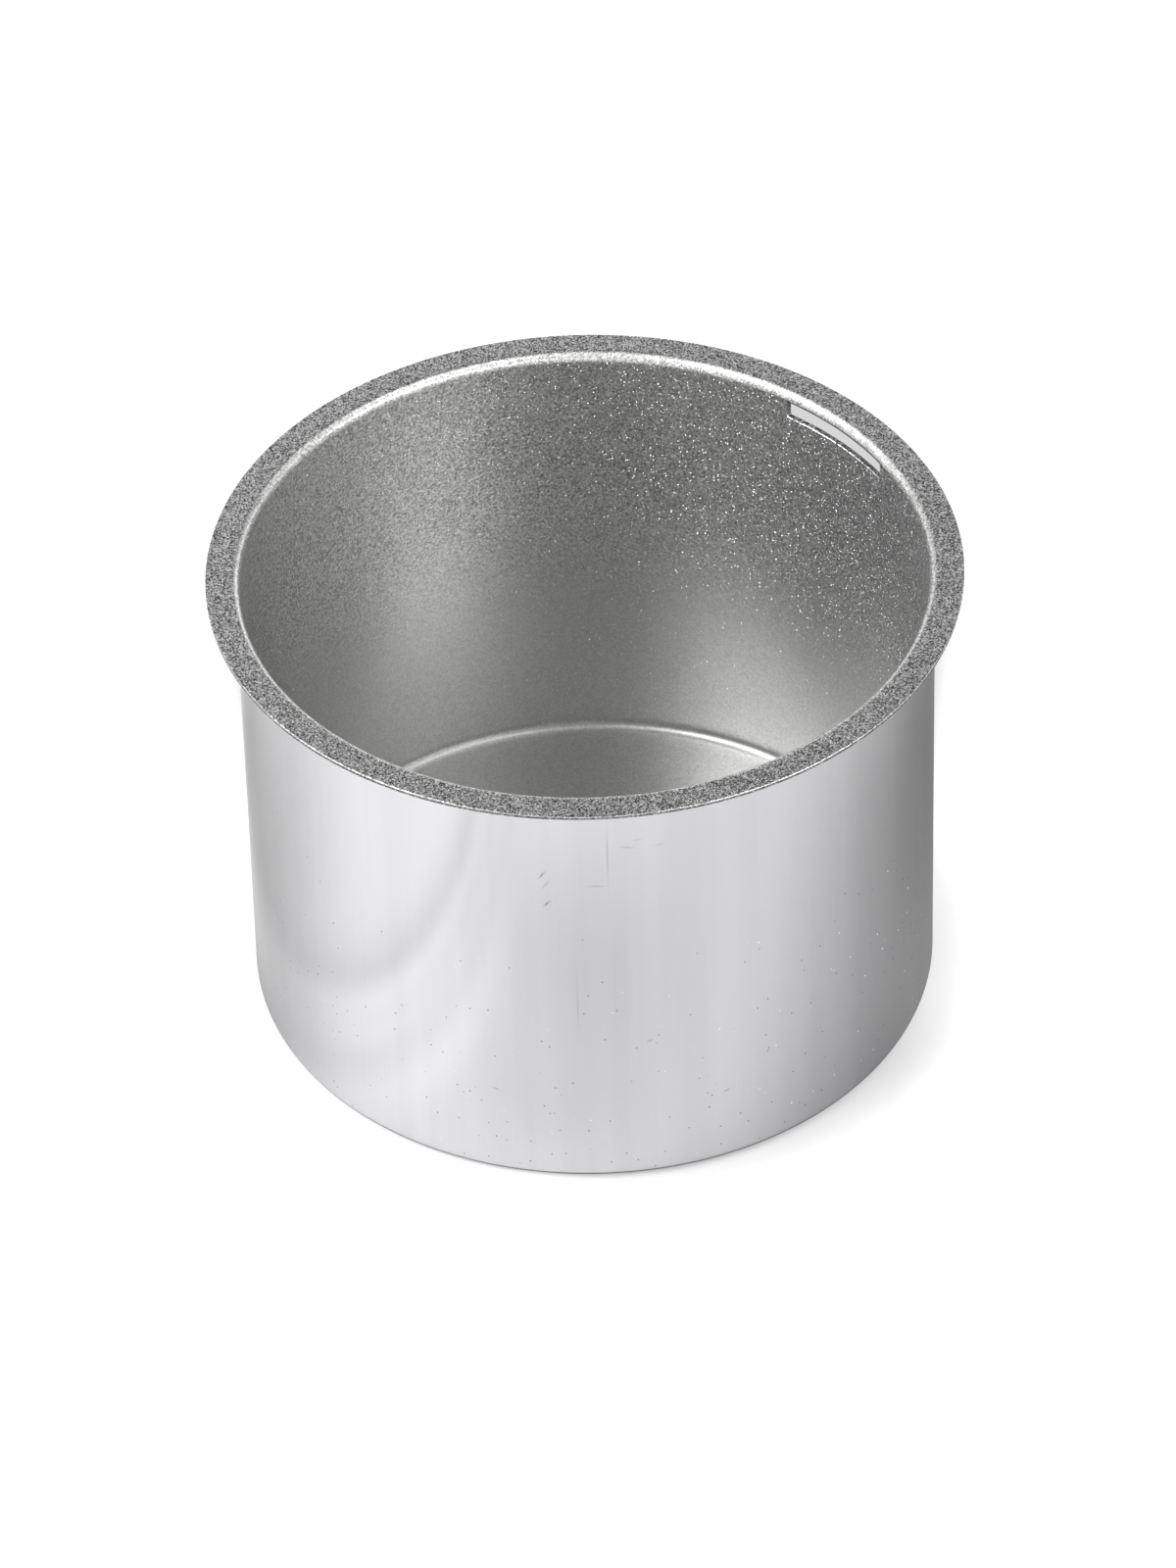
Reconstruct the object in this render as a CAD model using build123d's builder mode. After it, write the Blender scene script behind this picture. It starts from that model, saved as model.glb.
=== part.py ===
from build123d import *
import os

# Drawn aluminium bowl: flat base, straight wall, a flange turned outward at the rim, and one slot under the rim.
# Millimetres and degrees. The origin is the middle of the base's underside, and +Z points out of the mouth.

# Driving dimensions
body_diameter = 110.8  # outside of the wall
flange_width = 4.6  # from the outside of the wall to the rim's edge
total_height = 80.5  # underside of the base to the top of the flange
wall_thickness = 0.8  # wall and flange, thinned by the drawing
base_thickness = 1.2  # the base keeps the blank's thickness
rim_bend_radius = 0.6  # under the flange, where it turns into the wall
floor_corner_radius = 1.8  # inside, between the wall and the floor
base_corner_radius = 2.0  # outside, between the wall and the base
flange_edge_break = 0.2  # burrs taken off the flange's trimmed edge
slot_length = 22.0  # across the wall
slot_height = 3.0
slot_drop = 3.25  # top of the flange down to the middle of the slot
slot_corner_radius = 0.4
slot_direction = 40.5  # turned from +X towards +Y

# Sizes that follow
body_radius = body_diameter / 2
flange_radius = body_radius + flange_width
inner_radius = body_radius - wall_thickness
flange_underside = total_height - wall_thickness
slot_middle = total_height - slot_drop
outward = Vector(1, 0, 0).rotate(Axis.Z, slot_direction)
sideways = outward.rotate(Axis.Z, 90)

# Corners of the section, each a distance from the axis and a height
base_corner = (body_radius, 0)
under_rim = (body_radius, flange_underside)
lower_edge = (flange_radius, flange_underside)
upper_edge = (flange_radius, total_height)
mouth = (inner_radius, total_height)
floor_corner = (inner_radius, base_thickness)

os.makedirs("parts", exist_ok=True)


def at(sketch, corner):
    return sketch.vertices().sort_by_distance(corner)[0]


with BuildPart() as bowl:
    with BuildSketch(Plane.XZ) as section:
        with BuildLine():
            Polyline(
                (0, 0),
                base_corner,
                under_rim,
                lower_edge,
                upper_edge,
                mouth,
                floor_corner,
                (0, base_thickness),
                close=True,
            )
        make_face()
        fillet(at(section, base_corner), base_corner_radius)
        fillet(at(section, floor_corner), floor_corner_radius)
        fillet(at(section, under_rim), rim_bend_radius)
        fillet(at(section, mouth), rim_bend_radius + wall_thickness)
        chamfer(at(section, lower_edge), flange_edge_break)
        chamfer(at(section, upper_edge), flange_edge_break)
    revolve(axis=Axis.Z)
    # The slot is punched straight outward through the wall
    with BuildSketch(Plane((0, 0, slot_middle), x_dir=sideways, z_dir=outward)):
        RectangleRounded(slot_length, slot_height, slot_corner_radius)
    extrude(amount=flange_radius, mode=Mode.SUBTRACT)
bowl.part.label = "bowl"
export_step(bowl.part, "parts/bowl.step")
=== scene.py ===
import math

import bmesh
import bpy
from mathutils import Matrix, Vector


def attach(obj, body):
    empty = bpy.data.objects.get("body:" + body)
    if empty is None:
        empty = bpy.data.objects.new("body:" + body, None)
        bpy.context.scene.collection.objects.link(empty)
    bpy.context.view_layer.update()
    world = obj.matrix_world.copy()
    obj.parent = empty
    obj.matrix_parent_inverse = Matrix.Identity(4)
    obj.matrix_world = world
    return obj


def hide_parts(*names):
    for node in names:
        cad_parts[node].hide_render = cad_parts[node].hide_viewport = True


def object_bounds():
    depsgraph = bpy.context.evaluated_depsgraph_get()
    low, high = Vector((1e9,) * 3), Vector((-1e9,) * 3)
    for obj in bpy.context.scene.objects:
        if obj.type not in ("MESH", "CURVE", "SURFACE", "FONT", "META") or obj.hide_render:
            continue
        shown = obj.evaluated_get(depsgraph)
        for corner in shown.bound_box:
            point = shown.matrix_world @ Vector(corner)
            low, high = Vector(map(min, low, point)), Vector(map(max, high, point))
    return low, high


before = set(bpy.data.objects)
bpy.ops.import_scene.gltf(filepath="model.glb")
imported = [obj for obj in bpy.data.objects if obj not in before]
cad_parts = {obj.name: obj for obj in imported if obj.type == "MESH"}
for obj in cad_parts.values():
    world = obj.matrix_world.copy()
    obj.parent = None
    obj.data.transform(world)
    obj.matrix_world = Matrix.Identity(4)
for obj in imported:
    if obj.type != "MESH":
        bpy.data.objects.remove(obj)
cadLow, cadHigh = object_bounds()
print("frame loaded")


def addObject(name, data):
    made = bpy.data.objects.new(name, data)
    bpy.context.scene.collection.objects.link(made)
    return made


def meshData(name, mesh):
    data = bpy.data.meshes.new(name)
    mesh.to_mesh(data)
    mesh.free()
    return data


# Camera

cameraSetup = {
    "distance": 1.4156,  # metres, from the point that it aims at
    "elevation": 40.80,  # degrees above the horizon
    "roll": -1.52,  # degrees
    "aimSideways": -0.00036,
    "aimHeight": 0.03534,
    "lens": 201.35,  # millimetres
    "nearest": 0.05,  # metres that it sees from and to
    "farthest": 20,
}


def addCamera():
    look = cameraSetup
    elevation, roll = math.radians(look["elevation"]), math.radians(look["roll"])
    forward = Vector((0, math.cos(elevation), -math.sin(elevation)))
    level = Vector((1, 0, 0))
    upright = level.cross(forward)
    right = level * math.cos(roll) + upright * math.sin(roll)
    up = upright * math.cos(roll) - level * math.sin(roll)
    aim = Vector((look["aimSideways"], 0, look["aimHeight"]))
    data = bpy.data.cameras.new("camera")
    data.lens = look["lens"]
    data.clip_start, data.clip_end = look["nearest"], look["farthest"]
    camera = addObject("camera", data)
    facing = Matrix((right, up, -forward)).transposed().to_4x4()
    camera.matrix_world = Matrix.Translation(aim - forward * look["distance"]) @ facing
    bpy.context.scene.camera = camera


addCamera()
print("camera placed")


# Bowl shape

bowlSizes = {
    "flange": 0.0046,  # from the outside of the wall to the trimmed edge
    "sheet": 0.0008,  # wall and flange
    "bottom": 0.0012,
    "underBend": 0.0006,  # radius under the flange
    "floorCorner": 0.0018,
    "baseCorner": 0.002,
    "trimmedEdge": 0.0002,  # the flange's edge is a little rounded
    "slotLength": 0.022,
    "slotHeight": 0.003,
    "slotDrop": 0.00325,  # top of the flange down to the middle of the slot
    "slotCorner": 0.0004,
    "slotTurn": 40.5,  # degrees from +X towards +Y
    "slotEdge": 0.00014,  # its punched edges are a little rounded
    "slotEdgeRows": 2,
    "punchFrom": 0.045,  # metres from the axis: what the punch cuts through
    "punchTo": 0.0585,
    "punchSharp": 50,  # degrees: its edges turn by more than this
    # fineness of the mesh
    "facesAround": 360,
    "floorRows": 12,
    "wallRows": 16,
    "flangeRows": 3,
    "trimRows": 2,
    "baseRows": 8,
    "cornerRows": 12,
    "underBendRows": 8,
    "trimmedEdgeRows": 4,
    "slotCornerRows": 6,
    "nearRow": 0.00005,  # metres from a round to the first row of the flat beside it
    "sameSpot": 1e-7,  # metres: points closer than this are one
}

# The finishes, by their place in the list that makeBowl gets
coated, polished, cutBare = range(3)


def arcPoints(across, height, radius, start, end, rows):
    turns = [math.radians(start + (end - start) * i / rows) for i in range(rows + 1)]
    return [(across + radius * math.cos(t), height + radius * math.sin(t)) for t in turns]


def stretch(start, end, rows):
    # A row close to each end keeps the round beside it from shading the flat
    near = bowlSizes["nearRow"] / math.dist(start, end)
    shares = [0, near] + [i / rows for i in range(1, rows)] + [1 - near, 1]
    return [(start[0] + (end[0] - start[0]) * t, start[1] + (end[1] - start[1]) * t) for t in shares]


def wallRadius():
    return cadHigh.x - bowlSizes["flange"]


def bowlSection():
    # Each run is its finish and a list of points across and up
    s = bowlSizes
    rim, top, wall = cadHigh.x, cadHigh.z, wallRadius()
    under, inner, bend = top - s["sheet"], wall - s["sheet"], s["underBend"] + s["sheet"]
    bottom, inside, outside = s["bottom"], s["floorCorner"], s["baseCorner"]
    edge, underBend = s["trimmedEdge"], s["underBend"]
    return [
        (coated, stretch((0, bottom), (inner - inside, bottom), s["floorRows"])),
        (coated, arcPoints(inner - inside, bottom + inside, inside, -90, 0, s["cornerRows"])),
        (coated, stretch((inner, bottom + inside), (inner, top - bend), s["wallRows"])),
        (coated, arcPoints(inner + bend, top - bend, bend, 180, 90, s["cornerRows"])),
        (coated, stretch((inner + bend, top), (rim - edge, top), s["flangeRows"])),
        (coated, arcPoints(rim - edge, top - edge, edge, 90, 0, s["trimmedEdgeRows"])),
        (cutBare, stretch((rim, top - edge), (rim, under + edge), s["trimRows"])),
        (polished, arcPoints(rim - edge, under + edge, edge, 0, -90, s["trimmedEdgeRows"])),
        (polished, stretch((rim - edge, under), (wall + underBend, under), s["flangeRows"])),
        (polished, arcPoints(wall + underBend, under - underBend, underBend, 90, 180, s["underBendRows"])),
        (polished, stretch((wall, under - underBend), (wall, outside), s["wallRows"])),
        (polished, arcPoints(wall - outside, outside, outside, 0, -90, s["cornerRows"])),
        (polished, stretch((wall - outside, 0), (0, 0), s["baseRows"])),
    ]


def turnSection(mesh, section, finish):
    count = bowlSizes["facesAround"]
    rings = []
    for across, height in section:
        onAxis = across < bowlSizes["sameSpot"]
        turns = [2 * math.pi * i / count for i in range(1 if onAxis else count)]
        rings.append([mesh.verts.new((across * math.cos(t), across * math.sin(t), height)) for t in turns])
    for low, high in zip(rings, rings[1:]):
        for i in range(count):
            j = (i + 1) % count
            corners = [low[i % len(low)], low[j % len(low)], high[j % len(high)], high[i % len(high)]]
            face = mesh.faces.new(list(dict.fromkeys(corners)))
            face.material_index = finish
            face.smooth = True


def slotPlace():
    # The directions out through the slot and along it, and the height of its middle
    turn = math.radians(bowlSizes["slotTurn"])
    outward = Vector((math.cos(turn), math.sin(turn), 0))
    sideways = Vector((-math.sin(turn), math.cos(turn), 0))
    return outward, sideways, cadHigh.z - bowlSizes["slotDrop"]


def slotCutter():
    s = bowlSizes
    outward, sideways, level = slotPlace()
    middle = Vector((0, 0, level))
    halfLength, halfHeight = s["slotLength"] / 2 - s["slotCorner"], s["slotHeight"] / 2 - s["slotCorner"]
    outline = []
    for start, x, z in ((0, 1, 1), (90, -1, 1), (180, -1, -1), (270, 1, -1)):
        corner = (x * halfLength, z * halfHeight, s["slotCorner"])
        outline += arcPoints(*corner, start, start + 90, s["slotCornerRows"])
    mesh = bmesh.new()
    ends = []
    for reach in (s["punchFrom"], s["punchTo"]):
        points = [middle + outward * reach + sideways * x + Vector((0, 0, z)) for x, z in outline]
        ends.append([mesh.verts.new(point) for point in points])
        mesh.faces.new(ends[-1])
    for i in range(len(outline)):
        j = (i + 1) % len(outline)
        mesh.faces.new((ends[0][i], ends[0][j], ends[1][j], ends[1][i]))
    bmesh.ops.recalc_face_normals(mesh, faces=mesh.faces)
    for face in mesh.faces:
        face.material_index = cutBare
        face.smooth = True
    return meshData("slotCutter", mesh)


def makeBowl(finishes):
    mesh = bmesh.new()
    for finish, run in bowlSection():
        turnSection(mesh, run, finish)
    bmesh.ops.remove_doubles(mesh, verts=mesh.verts, dist=bowlSizes["sameSpot"])
    bmesh.ops.recalc_face_normals(mesh, faces=mesh.faces)
    bowl = addObject("drawnBowl", meshData("drawnBowl", mesh))
    cutter = addObject("slotCutter", slotCutter())
    for made in (bowl, cutter):
        for finish in finishes:
            made.data.materials.append(finish)
    cut = bowl.modifiers.new("slot", "BOOLEAN")
    cut.object, cut.operation, cut.solver = cutter, "DIFFERENCE", "EXACT"
    edges = bowl.modifiers.new("punchedEdges", "BEVEL")
    edges.width, edges.segments = bowlSizes["slotEdge"], bowlSizes["slotEdgeRows"]
    edges.limit_method, edges.angle_limit = "ANGLE", math.radians(bowlSizes["punchSharp"])
    edges.harden_normals = True
    bpy.context.view_layer.update()
    bowl.data = bpy.data.meshes.new_from_object(bowl.evaluated_get(bpy.context.evaluated_depsgraph_get()))
    bowl.data.name = "drawnBowl"
    bowl.modifiers.clear()
    bpy.data.objects.remove(cutter)
    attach(bowl, "root")
    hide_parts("bowl")
    return bowl


# Nodes

def addNode(tree, kind, **settings):
    node = tree.nodes.new(kind)
    for name, value in settings.items():
        setattr(node, name, value)
    return node


def feed(tree, socket, source):
    if isinstance(source, bpy.types.NodeSocket):
        tree.links.new(source, socket)
    else:
        socket.default_value = source


def mathNode(tree, operation, *sources, clamp=False):
    node = addNode(tree, "ShaderNodeMath", operation=operation, use_clamp=clamp)
    for socket, source in zip(node.inputs, sources):
        feed(tree, socket, source)
    return node.outputs[0]


def vectorNode(tree, operation, *sources):
    node = addNode(tree, "ShaderNodeVectorMath", operation=operation)
    sockets = [node.inputs[0], node.inputs["Scale"]] if operation == "SCALE" else node.inputs
    for socket, source in zip(sockets, sources):
        feed(tree, socket, source)
    return node.outputs["Value" if operation in ("LENGTH", "DOT_PRODUCT") else "Vector"]


def multiply(tree, first, second):
    return mathNode(tree, "MULTIPLY", first, second)


def square(tree, source):
    return multiply(tree, source, source)


def opposite(tree, share):
    return mathNode(tree, "SUBTRACT", 1.0, share)


def between(tree, share, low, high):
    # Runs evenly from low to high while the share runs from 0 to 1
    return mathNode(tree, "MULTIPLY_ADD", share, high - low, low)


def bell(tree, distanceSquare):
    # Falls softly from 1 towards 0
    return mathNode(tree, "EXPONENT", multiply(tree, distanceSquare, -1.0))


def aroundZero(tree, colour):
    return vectorNode(tree, "SUBTRACT", colour, (0.5, 0.5, 0.5))


def fade(tree, source, start, end, low=0.0, high=1.0):
    # Turns a value that runs from start to end into one that runs smoothly from low to high
    node = addNode(tree, "ShaderNodeMapRange", interpolation_type="SMOOTHSTEP")
    values = {"Value": source, "From Min": start, "From Max": end, "To Min": low, "To Max": high}
    for name, value in values.items():
        feed(tree, node.inputs[name], value)
    return node.outputs["Result"]


def span(tree, source, start, full, fullEnd, end):
    # 1 between the two middle values, and fading to 0 at the outer ones
    return multiply(tree, fade(tree, source, start, full), fade(tree, source, end, fullEnd))


def blend(tree, share, first, second, kind="RGBA"):
    node = addNode(tree, "ShaderNodeMix", data_type=kind)
    # The node has sockets for each kind, and these are the places of this kind's
    place, made = {"VECTOR": (4, 1), "RGBA": (6, 2)}[kind]
    feed(tree, node.inputs["Factor"], share)
    feed(tree, node.inputs[place], first)
    feed(tree, node.inputs[place + 1], second)
    return node.outputs[made]


def axes(tree, source):
    node = addNode(tree, "ShaderNodeSeparateXYZ")
    feed(tree, node.inputs[0], source)
    return node.outputs


def noise(tree, place, scale, detail):
    node = addNode(tree, "ShaderNodeTexNoise")
    feed(tree, node.inputs["Vector"], place)
    node.inputs["Scale"].default_value = scale
    node.inputs["Detail"].default_value = detail
    return node.outputs


def newGroup(name, inputs, outputs):
    tree = bpy.data.node_groups.new(name, "ShaderNodeTree")
    for label, kind, value in inputs:
        socket = tree.interface.new_socket(label, in_out="INPUT", socket_type="NodeSocket" + kind)
        if value is not None:
            socket.default_value = value
    for label, kind in outputs:
        tree.interface.new_socket(label, in_out="OUTPUT", socket_type="NodeSocket" + kind)
    return tree, addNode(tree, "NodeGroupInput").outputs, addNode(tree, "NodeGroupOutput").inputs


def useGroup(tree, group, **values):
    node = addNode(tree, "ShaderNodeGroup", node_tree=group)
    for name, value in values.items():
        feed(tree, node.inputs[name], value)
    return node.outputs


def newFinish(name):
    finish = bpy.data.materials.new(name)
    finish.use_nodes = True
    tree = finish.node_tree
    position = addNode(tree, "ShaderNodeTexCoord").outputs["Object"]
    geometry = addNode(tree, "ShaderNodeNewGeometry").outputs
    return finish, tree, tree.nodes["Principled BSDF"], position, geometry


# Finishes

def flakesGroup():
    # Tiny flakes, specks or grains, each with its own shade and tilt
    wholeShare = 0.6  # of the reach, within which a flake is whole
    inputs = [
        ("Position", "Vector", None),
        ("Size", "Float", 0.0003),
        ("Amount", "Float", 0.1),
        ("Reach", "Float", 0.5),
        ("Tilt", "Float", 0.3),
        ("Lift", "Vector", (0, 0, 0)),
        ("Normal", "Vector", None),
    ]
    outputs = [("Mask", "Float"), ("Shade", "Float"), ("Tilted", "Vector")]
    tree, given, made = newGroup("flakes", inputs, outputs)
    place = vectorNode(tree, "SCALE", given["Position"], mathNode(tree, "DIVIDE", 1.0, given["Size"]))
    cells = addNode(tree, "ShaderNodeTexVoronoi", voronoi_dimensions="3D", feature="F1")
    cells.inputs["Scale"].default_value = 1.0
    feed(tree, cells.inputs["Vector"], place)
    draw = addNode(tree, "ShaderNodeTexWhiteNoise", noise_dimensions="3D")
    feed(tree, draw.inputs["Vector"], cells.outputs["Color"])
    chosen = mathNode(tree, "LESS_THAN", draw.outputs["Value"], given["Amount"])
    whole = multiply(tree, given["Reach"], wholeShare)
    mask = multiply(tree, chosen, fade(tree, cells.outputs["Distance"], given["Reach"], whole))
    shade = addNode(tree, "ShaderNodeSeparateColor")
    feed(tree, shade.inputs[0], draw.outputs["Color"])
    spread = vectorNode(tree, "SCALE", aroundZero(tree, cells.outputs["Color"]), given["Tilt"])
    lean = vectorNode(tree, "SCALE", vectorNode(tree, "ADD", spread, given["Lift"]), mask)
    feed(tree, made["Mask"], mask)
    feed(tree, made["Shade"], shade.outputs["Green"])
    feed(tree, made["Tilted"], vectorNode(tree, "NORMALIZE", vectorNode(tree, "ADD", given["Normal"], lean)))
    return tree


flakes = flakesGroup()


def useGrain(tree, position, normal, size, tilt):
    # All flakes, so wide that they meet and cover the surface
    return useGroup(tree, flakes, Position=position, Normal=normal, Size=size, Tilt=tilt, Amount=1.0, Reach=2.0)


# Sizes and places are in metres
coatingLook = {
    "colour": (0.63, 0.63, 0.625),
    "metal": 0.88,
    "rough": 0.305,
    "lowRough": 0.37,  # near the bottom
    "roughSpan": (0.005, 0.042),  # heights between which it changes
    "wallSize": 0.00027,  # grain of the inside
    "wallDepth": 1.0,
    "wallTilt": 0.17,
    "lowWall": 0.25,  # share of that depth and tilt that the bottom keeps
    "flangeColour": (1, 1, 0.995),
    "flangeSpan": (0.0002, 0.000008),  # depths under the top between which the flange's grain fades in
    "grainSize": 0.0002,  # the salt-and-pepper grain on the flange
    "grainTilt": 0.3,
    "grainPower": 1.3,  # over 1 gives more dark grains
    "grainDark": 0.03,
    "grainLight": 0.98,
    "bendSpan": (0.0017, 0.0012, 0.00012, 0.00001),  # depths under the top where the bend starts, is full and ends
    "bendHighlightGain": 1.5,  # painted highlight: the bend's coating is made paler, standing in for the light that it catches
    "bendGrain": 0.8,
    "bendMetal": 0.86,
    "backBendHighlightMetal": 0.5,  # painted highlight: less metal at the back, so that the bend is paler there
    "backSpan": (0.01, 0.032),  # towards +Y
    "fleckColour": (0.9, 0.9, 0.89, 1),
    "fleckSize": 0.00025,
    "fleckReach": 0.38,  # share of its cell
    "fleckAmount": 0.52,
    "fleckTilt": 1.7,
    "fleckLift": (0, 0, 0.9),
    "fleckRough": 0.25,
    "fleckSpan": (0.026, 0.056),  # heights: fewer flecks below
    "lowFlecks": 0.08,  # share that the bottom keeps
    "fleckThin": 0.3,  # painted shade: share of the flecks that the far side from +X keeps, where less light catches them
    "thinSpan": (-0.01, 0.042),  # towards +X
    # a painted highlight along the slot's lower edge and a painted shadow along its upper edge, standing in for
    # the lit bare cut edge and the shade above it
    "slotHighlightColour": (1, 1, 1, 1),
    "slotShadowColour": (0.12, 0.12, 0.12, 1),
    "paintedLineWidth": 0.00028,
    "paintedLineFull": 0.75,  # share of the width where it is full
    "paintedLineInside": (0.0001, 0.0003),  # past the slot's edge, where it is still full and where it ends
    "paintedLineEnds": (0.0001, -0.0003),  # past the slot's ends, where it ends and where it is full
    "paintedLineSide": (0.03, 0.04),  # towards the slot's side of the bowl
    "highlightBreaks": (0.05, 0.5, 0.25, 1.0),  # shades of the grain that break the painted highlight, and what they leave
}


def paintedSlotLines(tree, position, level):
    # Masks of the painted highlight below the slot and the painted shadow above it
    look = coatingLook
    outward, sideways, middle = slotPlace()
    halfLength, halfHeight = bowlSizes["slotLength"] / 2, bowlSizes["slotHeight"] / 2
    along = mathNode(tree, "ABSOLUTE", vectorNode(tree, "DOT_PRODUCT", position, sideways))
    towards = vectorNode(tree, "DOT_PRODUCT", position, outward)
    end, fullEnd = [halfLength + past for past in look["paintedLineEnds"]]
    beside = multiply(tree, fade(tree, along, end, fullEnd), fade(tree, towards, *look["paintedLineSide"]))
    width, (insideFull, insideEnd) = look["paintedLineWidth"], look["paintedLineInside"]
    offsets = (width, width * look["paintedLineFull"], -insideFull, -insideEnd)
    lines = []
    for side in (-1, 1):
        heights = [middle + side * (halfHeight + offset) for offset in offsets]
        lines.append(multiply(tree, beside, span(tree, level, *heights)))
    return lines


def coatingFinish():
    look = coatingLook
    finish, tree, shader, position, geometry = newFinish("nonStickCoating")
    place, normal = axes(tree, position), geometry["Normal"]
    level, top = place["Z"], cadHigh.z
    onFlange = fade(tree, level, *[top - depth for depth in look["flangeSpan"]])
    onBend = span(tree, level, *[top - depth for depth in look["bendSpan"]])
    rising = fade(tree, level, *look["fleckSpan"])

    grain = useGrain(tree, position, normal, look["grainSize"], look["grainTilt"])
    rougher = between(tree, rising, look["lowWall"], 1.0)
    wallGrain = useGrain(tree, position, normal, look["wallSize"], multiply(tree, rougher, look["wallTilt"]))
    # Painted shade: fewer flecks away from +X, where they would catch less light
    kept = fade(tree, place["X"], *look["thinSpan"], look["fleckThin"], 1.0)
    kept = multiply(tree, between(tree, rising, look["lowFlecks"], 1.0), multiply(tree, kept, look["fleckAmount"]))
    flecks = useGroup(
        tree,
        flakes,
        Position=position,
        Size=look["fleckSize"],
        Amount=kept,
        Reach=look["fleckReach"],
        Tilt=look["fleckTilt"],
        Lift=look["fleckLift"],
        Normal=wallGrain["Tilted"],
    )
    highlightBelow, shadowAbove = paintedSlotLines(tree, position, level)
    highlightBelow = multiply(tree, highlightBelow, fade(tree, wallGrain["Shade"], *look["highlightBreaks"]))

    wallShade = mathNode(tree, "SUBTRACT", wallGrain["Shade"], 0.5)
    depth = multiply(tree, rougher, look["wallDepth"])
    swing = mathNode(tree, "MULTIPLY_ADD", wallShade, depth, 1.0)
    # The bend's own grain, and a painted highlight that makes the whole bend paler
    bendGrainAndHighlight = mathNode(tree, "SUBTRACT", grain["Shade"], 0.5)
    bendGrainAndHighlight = mathNode(tree, "MULTIPLY_ADD", bendGrainAndHighlight, look["bendGrain"], look["bendHighlightGain"] - 1)
    gain = mathNode(tree, "MULTIPLY_ADD", onBend, bendGrainAndHighlight, 1.0)
    wallColour = vectorNode(tree, "SCALE", look["colour"], multiply(tree, swing, gain))
    wallColour = blend(tree, flecks["Mask"], wallColour, look["fleckColour"])
    # Painted highlight below the slot, painted shadow above it
    wallColour = blend(tree, highlightBelow, wallColour, look["slotHighlightColour"])
    wallColour = blend(tree, shadowAbove, wallColour, look["slotShadowColour"])
    salt = mathNode(tree, "POWER", grain["Shade"], look["grainPower"])
    salt = between(tree, salt, look["grainDark"], look["grainLight"])
    flangeColour = vectorNode(tree, "SCALE", look["flangeColour"], salt)
    feed(tree, shader.inputs["Base Color"], blend(tree, onFlange, wallColour, flangeColour))

    # Painted highlight: the bend has less metal, least towards the back, which makes it paler there
    bendMetal, backMetal = look["bendMetal"] - look["metal"], look["backBendHighlightMetal"] - look["metal"]
    change = fade(tree, place["Y"], *look["backSpan"], bendMetal, backMetal)
    feed(tree, shader.inputs["Metallic"], mathNode(tree, "MULTIPLY_ADD", onBend, change, look["metal"]))
    rough = fade(tree, level, *look["roughSpan"], look["lowRough"], look["rough"])
    onWall = multiply(tree, flecks["Mask"], opposite(tree, onFlange))
    change = mathNode(tree, "SUBTRACT", look["fleckRough"], rough)
    feed(tree, shader.inputs["Roughness"], mathNode(tree, "MULTIPLY_ADD", onWall, change, rough))
    lifted = vectorNode(tree, "ADD", flecks["Tilted"], vectorNode(tree, "SCALE", look["fleckLift"], highlightBelow))
    lifted = vectorNode(tree, "NORMALIZE", lifted)
    feed(tree, shader.inputs["Normal"], blend(tree, onFlange, lifted, grain["Tilted"], "VECTOR"))
    return finish


def scratchGroup():
    # A short thin mark at a place on the surface, along a direction
    inputs = [
        ("Position", "Vector", None),
        ("Middle", "Vector", (0, 0, 0)),
        ("Along", "Vector", (0, 0, 1)),
        ("Length", "Float", 0.001),
        ("Width", "Float", 0.0001),
    ]
    tree, given, made = newGroup("scratch", inputs, [("Mask", "Float")])
    away = vectorNode(tree, "SUBTRACT", given["Position"], given["Middle"])
    alongSquare = square(tree, vectorNode(tree, "DOT_PRODUCT", away, given["Along"]))
    acrossSquare = mathNode(tree, "SUBTRACT", vectorNode(tree, "DOT_PRODUCT", away, away), alongSquare)
    lengthPart = mathNode(tree, "DIVIDE", alongSquare, square(tree, given["Length"]))
    widthPart = mathNode(tree, "DIVIDE", acrossSquare, square(tree, given["Width"]))
    feed(tree, made["Mask"], bell(tree, mathNode(tree, "ADD", lengthPart, widthPart)))
    return tree


scratch = scratchGroup()

polishLook = {
    "colour": (0.86, 0.86, 0.877),
    "streakSquash": 0.04,  # of the height in the pattern: less gives longer streaks
    "streakScale": 170,
    "streakDetail": 5,
    "streakSpan": (0.3, 0.7),  # values of the noise between which the streaks change
    "streakDepth": 0.06,
    "streakRough": (0.07, 0.12),  # from the dark streaks to the light ones
    "wave": 0.012,  # how much the drawn wall ripples
    "waveScale": 90,
    "waveDetail": 2,
    "speckSize": 0.0015,  # metres from speck to speck
    "speckAmount": 0.75,
    "speckReach": 0.115,
    "speckSpan": (0.058, 0.023),  # metres above the base, where the specks end and where they are full
    "paleSpecks": 0.25,  # share that is bright and not metal
    "speckDark": (0.22, 0.22, 0.22, 1),
    "speckPale": (1, 1, 1, 1),
    "scratchColour": (0.2, 0.2, 0.2, 1),
    "scratchWidth": 0.00014,  # metres
    # direction, height and half length in millimetres, lean in degrees from upright, strength
    "scratches": [
        (261.8, 64.3, 0.8, 33, 0.75),
        (262.4, 62.4, 0.9, 33, 0.35),
        (262.5, 58.5, 0.65, 38, 0.80),
        (272.4, 68.5, 5.0, 0, 0.30),
        (267.0, 38.0, 4.5, 0, 0.22),
        (275.7, 69.8, 0.9, 100, 0.40),
        (277.2, 71.2, 0.6, 85, 0.25),
        (280.8, 69.6, 0.9, 85, 0.20),
        (270.6, 62.2, 1.3, 90, 0.30),
        (278.6, 29.0, 0.4, 60, 0.60),
        (291.5, 15.0, 0.5, 75, 0.60),
        (253.0, 18.0, 0.5, 110, 0.50),
    ],
}


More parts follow.
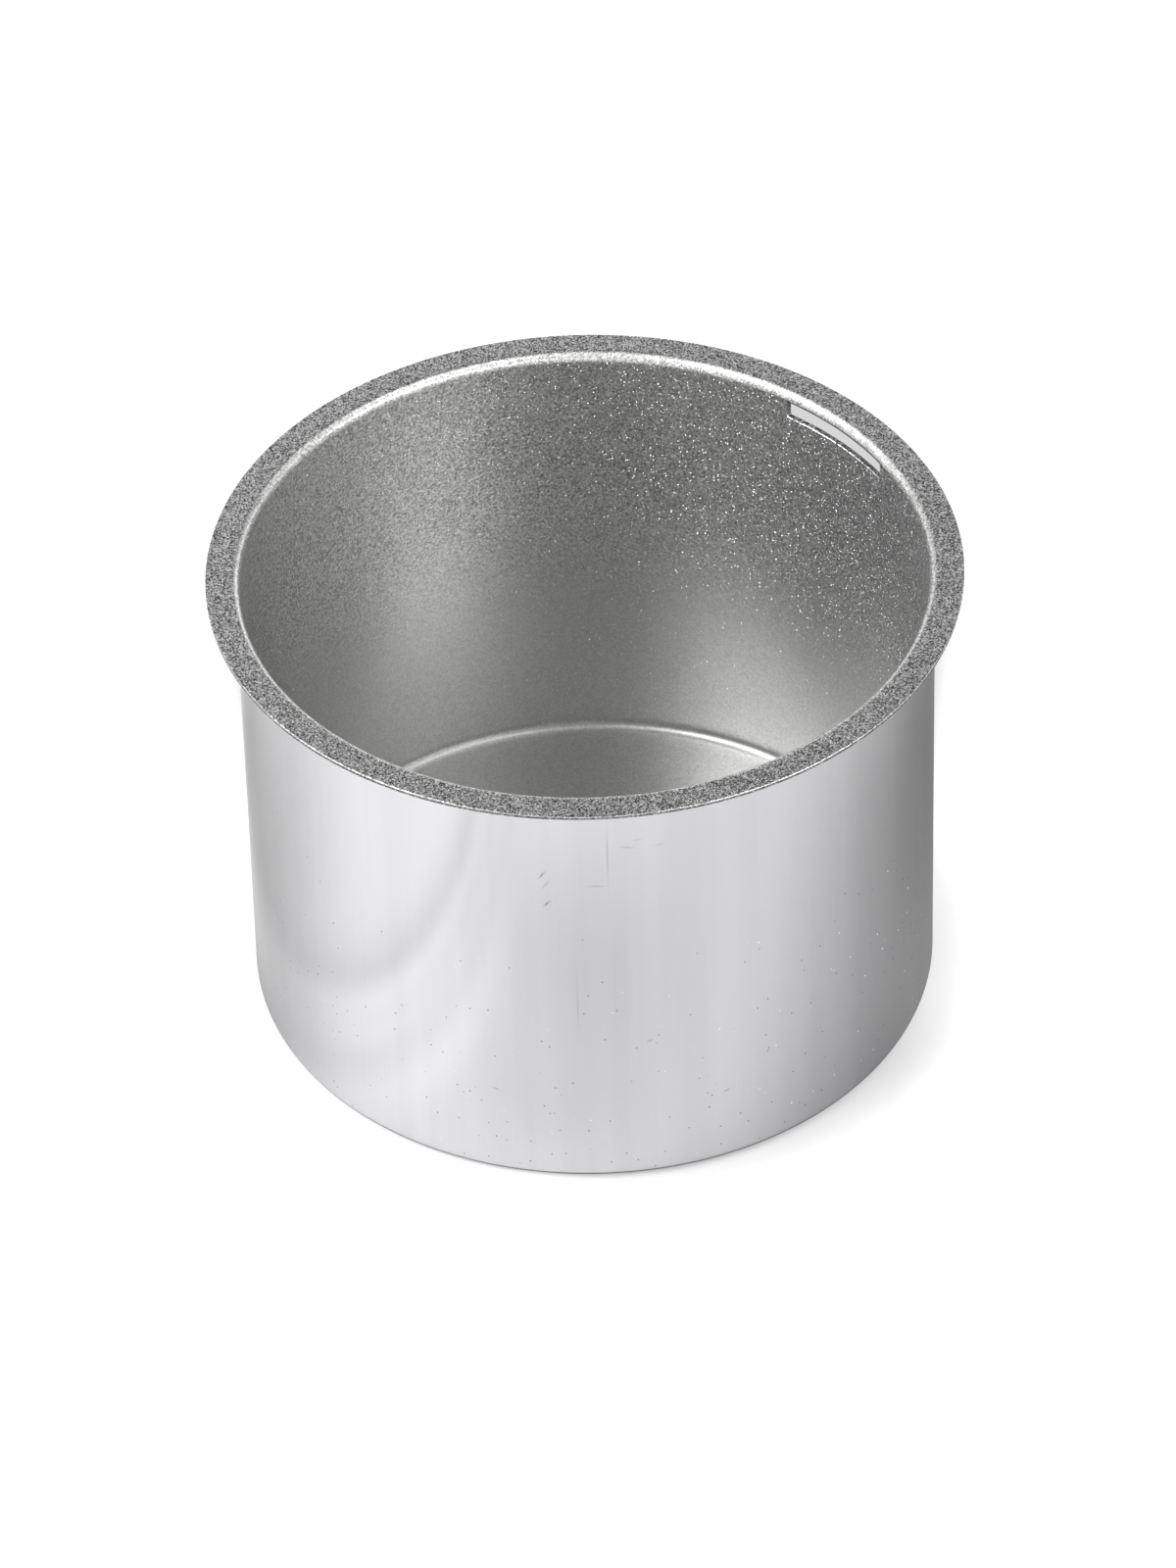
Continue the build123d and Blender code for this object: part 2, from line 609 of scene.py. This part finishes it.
def addScratch(tree, position, colour, turn, height, half, lean, strength):
    look, upward = polishLook, Vector((0, 0, 1))
    turn, lean, across = math.radians(turn), math.radians(lean), wallRadius()
    middle = Vector((across * math.cos(turn), across * math.sin(turn), height / 1000))
    along = upward.cross(middle).normalized() * math.sin(lean) + upward * math.cos(lean)
    mark = useGroup(
        tree,
        scratch,
        Position=position,
        Middle=middle,
        Along=along,
        Length=half / 1000,
        Width=look["scratchWidth"],
    )
    return blend(tree, multiply(tree, mark["Mask"], strength), colour, look["scratchColour"])


def polishFinish():
    look = polishLook
    finish, tree, shader, position, geometry = newFinish("polishedAluminium")
    normal = geometry["Normal"]
    stretched = addNode(tree, "ShaderNodeMapping")
    feed(tree, stretched.inputs["Vector"], position)
    stretched.inputs["Scale"].default_value = (1, 1, look["streakSquash"])
    streaks = noise(tree, stretched.outputs["Vector"], look["streakScale"], look["streakDetail"])["Fac"]
    waves = noise(tree, stretched.outputs["Vector"], look["waveScale"], look["waveDetail"])["Color"]
    light = fade(tree, streaks, *look["streakSpan"], 1 - look["streakDepth"], 1.0)
    colour = vectorNode(tree, "SCALE", look["colour"], light)
    lower = fade(tree, axes(tree, position)["Z"], *look["speckSpan"])
    specks = useGroup(
        tree,
        flakes,
        Position=position,
        Size=look["speckSize"],
        Amount=multiply(tree, lower, look["speckAmount"]),
        Reach=look["speckReach"],
        Tilt=0.0,
        Normal=normal,
    )
    pale = mathNode(tree, "LESS_THAN", specks["Shade"], look["paleSpecks"])
    speckColour = blend(tree, pale, look["speckDark"], look["speckPale"])
    colour = blend(tree, specks["Mask"], colour, speckColour)
    for values in look["scratches"]:
        colour = addScratch(tree, position, colour, *values)
    feed(tree, shader.inputs["Base Color"], colour)
    feed(tree, shader.inputs["Metallic"], opposite(tree, multiply(tree, specks["Mask"], pale)))
    feed(tree, shader.inputs["Roughness"], fade(tree, streaks, *look["streakSpan"], *look["streakRough"]))
    ripple = vectorNode(tree, "SCALE", aroundZero(tree, waves), look["wave"])
    rippled = vectorNode(tree, "NORMALIZE", vectorNode(tree, "ADD", normal, ripple))
    feed(tree, shader.inputs["Normal"], rippled)
    return finish


cutLook = {
    "dark": (0.11, 0.11, 0.11, 1),
    "light": (0.55, 0.55, 0.55, 1),
    "rough": 0.45,
    "grainSize": 0.00028,  # metres
    "grainTilt": 0.8,
    "grainPower": 2.0,  # over 1 gives more dark grains
}


def cutFinish():
    look = cutLook
    finish, tree, shader, position, geometry = newFinish("cutMetal")
    grain = useGrain(tree, position, geometry["Normal"], look["grainSize"], look["grainTilt"])
    shade = mathNode(tree, "POWER", grain["Shade"], look["grainPower"])
    feed(tree, shader.inputs["Base Color"], blend(tree, shade, look["dark"], look["light"]))
    shader.inputs["Metallic"].default_value = 1
    shader.inputs["Roughness"].default_value = look["rough"]
    feed(tree, shader.inputs["Normal"], grain["Tilted"])
    return finish


bowl = makeBowl([coatingFinish(), polishFinish(), cutFinish()])
print("bowl made,", len(bowl.data.polygons), "faces")


# Studio

lampAimHeight = 0.04

lampSetup = {
    # turned from +X towards +Y, height above the floor as an angle, distance, width, depth, brightness
    "key": (198, 46.5, 1.25, 1.0, 0.65, 6.6),
    "fill": (322, 19, 1.25, 1.1, 0.55, 3.7),
    "top": (338, 63, 1.25, 0.8, 0.5, 1.8),
    "back": (100, 36, 1.25, 1.0, 0.45, 0.4),
    "lowBack": (72, 15, 1.25, 1.5, 0.4, 0.5),
    "lowLeft": (191, 12, 1.25, 0.9, 0.3, 0.6),
    "leftBack": (122, 40, 0.55, 0.4, 0.3, 0.15),
}


def addLamps():
    for name, (turn, rise, distance, width, depth, brightness) in lampSetup.items():
        data = bpy.data.lights.new(name, "AREA")
        data.shape, data.size, data.size_y = "RECTANGLE", width, depth
        data.energy = brightness * math.pi * width * depth
        lamp = addObject(name, data)
        turn, rise = math.radians(turn), math.radians(rise)
        away = Vector((math.cos(turn) * math.cos(rise), math.sin(turn) * math.cos(rise), math.sin(rise)))
        lamp.location = away * distance + Vector((0, 0, lampAimHeight))
        lamp.rotation_euler = away.to_track_quat("Z", "Y").to_euler()


def softPatchGroup():
    # A soft-edged oval of painted shade on the floor, or painted light where its strength is below 0, in metres
    inputs = [
        ("Position", "Vector", None),
        ("Middle", "Vector", (0, 0, 0)),
        ("Reach", "Vector", (0.1, 0.1, 1)),
        ("Strength", "Float", 0.5),
    ]
    tree, given, made = newGroup("softPatch", inputs, [("Tone", "Float")])
    away = vectorNode(tree, "SUBTRACT", given["Position"], given["Middle"])
    away = vectorNode(tree, "DIVIDE", away, given["Reach"])
    soft = bell(tree, vectorNode(tree, "DOT_PRODUCT", away, away))
    darker = multiply(tree, given["Strength"], -1.0)
    feed(tree, made["Tone"], mathNode(tree, "MULTIPLY_ADD", soft, darker, 1.0))
    return tree


softPatch = softPatchGroup()

floorLook = {
    "size": 3,  # metres from the middle to each side
    "drop": 0.00005,  # metres under the base, so that it doesn't flicker with the underside
    "rough": 0.7,
    "specular": 0.1,
    "touching": 0.0002,  # metres: the underside's own rays end within this
    # what the camera sees, with distances from the bowl's wall in metres
    "seenColour": (0.6, 0.6, 0.6),
    "nearGlow": 0.5,  # beside the bowl, where its shadow shows
    "farGlow": 0.85,
    "glowSpan": (0.001, 0.0115),
    # painted shade where the bowl meets the floor
    "contactTone": 0.93,
    "contactSpan": (-0.001, 0.0018),
    "sideTurn": 303,  # degrees from +X towards +Y, where the soft shade beside the bowl is widest
    "sideTurnSpan": (0.68, 0.945),  # cosines of the turn from there, where the shade ends and where it is full
    "sideSpan": (0.014, 0.006),
    "sideTone": 0.69,
    # the bowl's shadow on the floor behind it, which shows through the slot
    "shadowMiddle": 0.098,  # metres behind the bowl's axis
    "shadowWidth": 0.0615,  # half of it there, and at the bowl's foot
    "footWidth": 0.046,
    "shadowEdge": (-0.0015, 0.009),
    "shadowTone": 0.455,
    # what metal mirrors, with painted shade on the floor that only mirror rays see
    "mirrorColour": (0.712, 0.712, 0.712),
    "mirrorGlow": 0.15,  # the pale backdrop
    "uncoveredSpan": (-0.0025, 0.0005),  # metres from the wall: the backdrop doesn't shine under the bowl
    "underTone": 0.25,  # painted shade in the gap under the bottom corner
    "underSpan": (-0.0007, 0.0003),
    "deepestTone": 0.28,
    # painted shade patches that the polished wall mirrors: middle across and back, reach across and back in
    # metres, how much darker
    "paintedShadePatches": [
        (-0.0661, -0.0854, 0.0118, 0.0785, 0.303),
        (-0.0671, -0.0759, 0.0043, 0.0727, -0.350),
        (-0.0569, -0.0152, 0.0117, 0.0196, 0.270),
        (-0.0440, -0.0652, 0.0065, 0.0328, -0.108),
        (-0.0047, -0.1048, 0.0515, 0.0375, 0.251),
        (-0.0262, 0.0129, 0.1220, 0.0466, 0.460),
        (0.0849, 0.2000, 0.0824, 0.2375, 0.866),
        (0.0301, -0.0285, 0.0302, 0.0216, 0.470),
        (-0.0107, -0.0706, 0.0321, 0.0163, 0.11),
        (-0.0855, 0.0546, 0.0260, 0.0250, 0.300),
        (-0.0601, 0.0242, 0.0059, 0.1564, -0.350),
    ],
}


def shadowBehind(tree, position):
    # Widens from the foot of the bowl to the rim's shadow
    look, place = floorLook, axes(tree, position)
    share = mathNode(tree, "DIVIDE", place["Y"], look["shadowMiddle"], clamp=True)
    beyond = mathNode(tree, "SUBTRACT", place["Y"], multiply(tree, share, look["shadowMiddle"]))
    away = mathNode(tree, "ADD", square(tree, place["X"]), square(tree, beyond))
    away = mathNode(tree, "SQRT", away)
    past = mathNode(tree, "SUBTRACT", away, between(tree, share, look["footWidth"], look["shadowWidth"]))
    return fade(tree, past, *look["shadowEdge"], look["shadowTone"], 1.0)


def seenGlow(tree, position, away):
    # White far from the bowl and shaded beside it
    look, turn = floorLook, math.radians(floorLook["sideTurn"])
    glow = fade(tree, away, *look["glowSpan"], look["nearGlow"], look["farGlow"])
    glow = multiply(tree, glow, fade(tree, away, *look["contactSpan"], look["contactTone"], 1.0))
    ahead = (math.cos(turn), math.sin(turn), 0)
    towards = vectorNode(tree, "DOT_PRODUCT", vectorNode(tree, "NORMALIZE", position), ahead)
    side = multiply(tree, fade(tree, towards, *look["sideTurnSpan"]), fade(tree, away, *look["sideSpan"]))
    return multiply(tree, glow, between(tree, side, 1.0, look["sideTone"]))


# Painted shade on the floor, seen only by mirror rays, which the polished wall shows as painted reflections
def mirroredTone(tree, position, away):
    look, tone = floorLook, 1.0
    for across, back, reachAcross, reachBack, darker in look["paintedShadePatches"]:
        middle, reach = (across, back, 0), (reachAcross, reachBack, 1)
        patch = useGroup(tree, softPatch, Position=position, Middle=middle, Reach=reach, Strength=darker)
        tone = multiply(tree, tone, patch["Tone"])
    tone = mathNode(tree, "MAXIMUM", tone, look["deepestTone"])
    return multiply(tree, tone, fade(tree, away, *look["underSpan"], look["underTone"], 1.0))


def addFloor():
    look = floorLook
    mesh = bmesh.new()
    bmesh.ops.create_grid(mesh, x_segments=1, y_segments=1, size=look["size"])
    floor = addObject("floor", meshData("floor", mesh))
    floor.location.z = -look["drop"]
    finish, tree, shader, position, geometry = newFinish("floor")
    shader.inputs["Roughness"].default_value = look["rough"]
    shader.inputs["Specular IOR Level"].default_value = look["specular"]
    rays = addNode(tree, "ShaderNodeLightPath").outputs
    seen = rays["Is Camera Ray"]
    mirrorRay = mathNode(tree, "MAXIMUM", rays["Is Glossy Ray"], rays["Is Transmission Ray"])
    away = mathNode(tree, "SUBTRACT", vectorNode(tree, "LENGTH", position), wallRadius())
    shadow, tone = shadowBehind(tree, position), mirroredTone(tree, position, away)

    grey = vectorNode(tree, "SCALE", look["seenColour"], shadow)
    mirrored = vectorNode(tree, "SCALE", look["mirrorColour"], tone)
    feed(tree, shader.inputs["Base Color"], blend(tree, seen, mirrored, grey))
    glow = multiply(tree, seenGlow(tree, position, away), shadow)
    uncovered = multiply(tree, tone, fade(tree, away, *look["uncoveredSpan"]))
    mirrorGlow = multiply(tree, multiply(tree, mirrorRay, look["mirrorGlow"]), uncovered)
    glow = mathNode(tree, "MULTIPLY_ADD", seen, glow, mirrorGlow)
    feed(tree, shader.inputs["Emission Color"], vectorNode(tree, "SCALE", (1, 1, 1), glow))
    shader.inputs["Emission Strength"].default_value = 1
    # Clear from below and for the underside's own rays, so that the underside can be looked at
    touching = mathNode(tree, "LESS_THAN", rays["Ray Length"], look["touching"])
    clear = mathNode(tree, "MAXIMUM", geometry["Backfacing"], touching)
    feed(tree, shader.inputs["Alpha"], opposite(tree, clear))
    floor.data.materials.append(finish)


worldLook = {
    "low": 1.0,  # brightness near the horizon and below it
    "high": 0.24,  # and overhead
    "span": (0.08, 0.34),  # sines of the heights between which it changes
}


def addWorld():
    look = worldLook
    world = bpy.data.worlds.new("studio")
    bpy.context.scene.world = world
    world.use_nodes = True
    tree = world.node_tree
    direction = axes(tree, addNode(tree, "ShaderNodeTexCoord").outputs["Generated"])
    backdrop = fade(tree, direction["Z"], *look["span"], look["low"], look["high"])
    backdrop = vectorNode(tree, "SCALE", (1, 1, 1), backdrop)
    seen = addNode(tree, "ShaderNodeLightPath").outputs["Is Camera Ray"]
    feed(tree, tree.nodes["Background"].inputs["Color"], blend(tree, seen, backdrop, (1, 1, 1, 1)))


addLamps()
addFloor()
addWorld()
bpy.context.scene.view_settings.view_transform = "Standard"
print("studio lit")
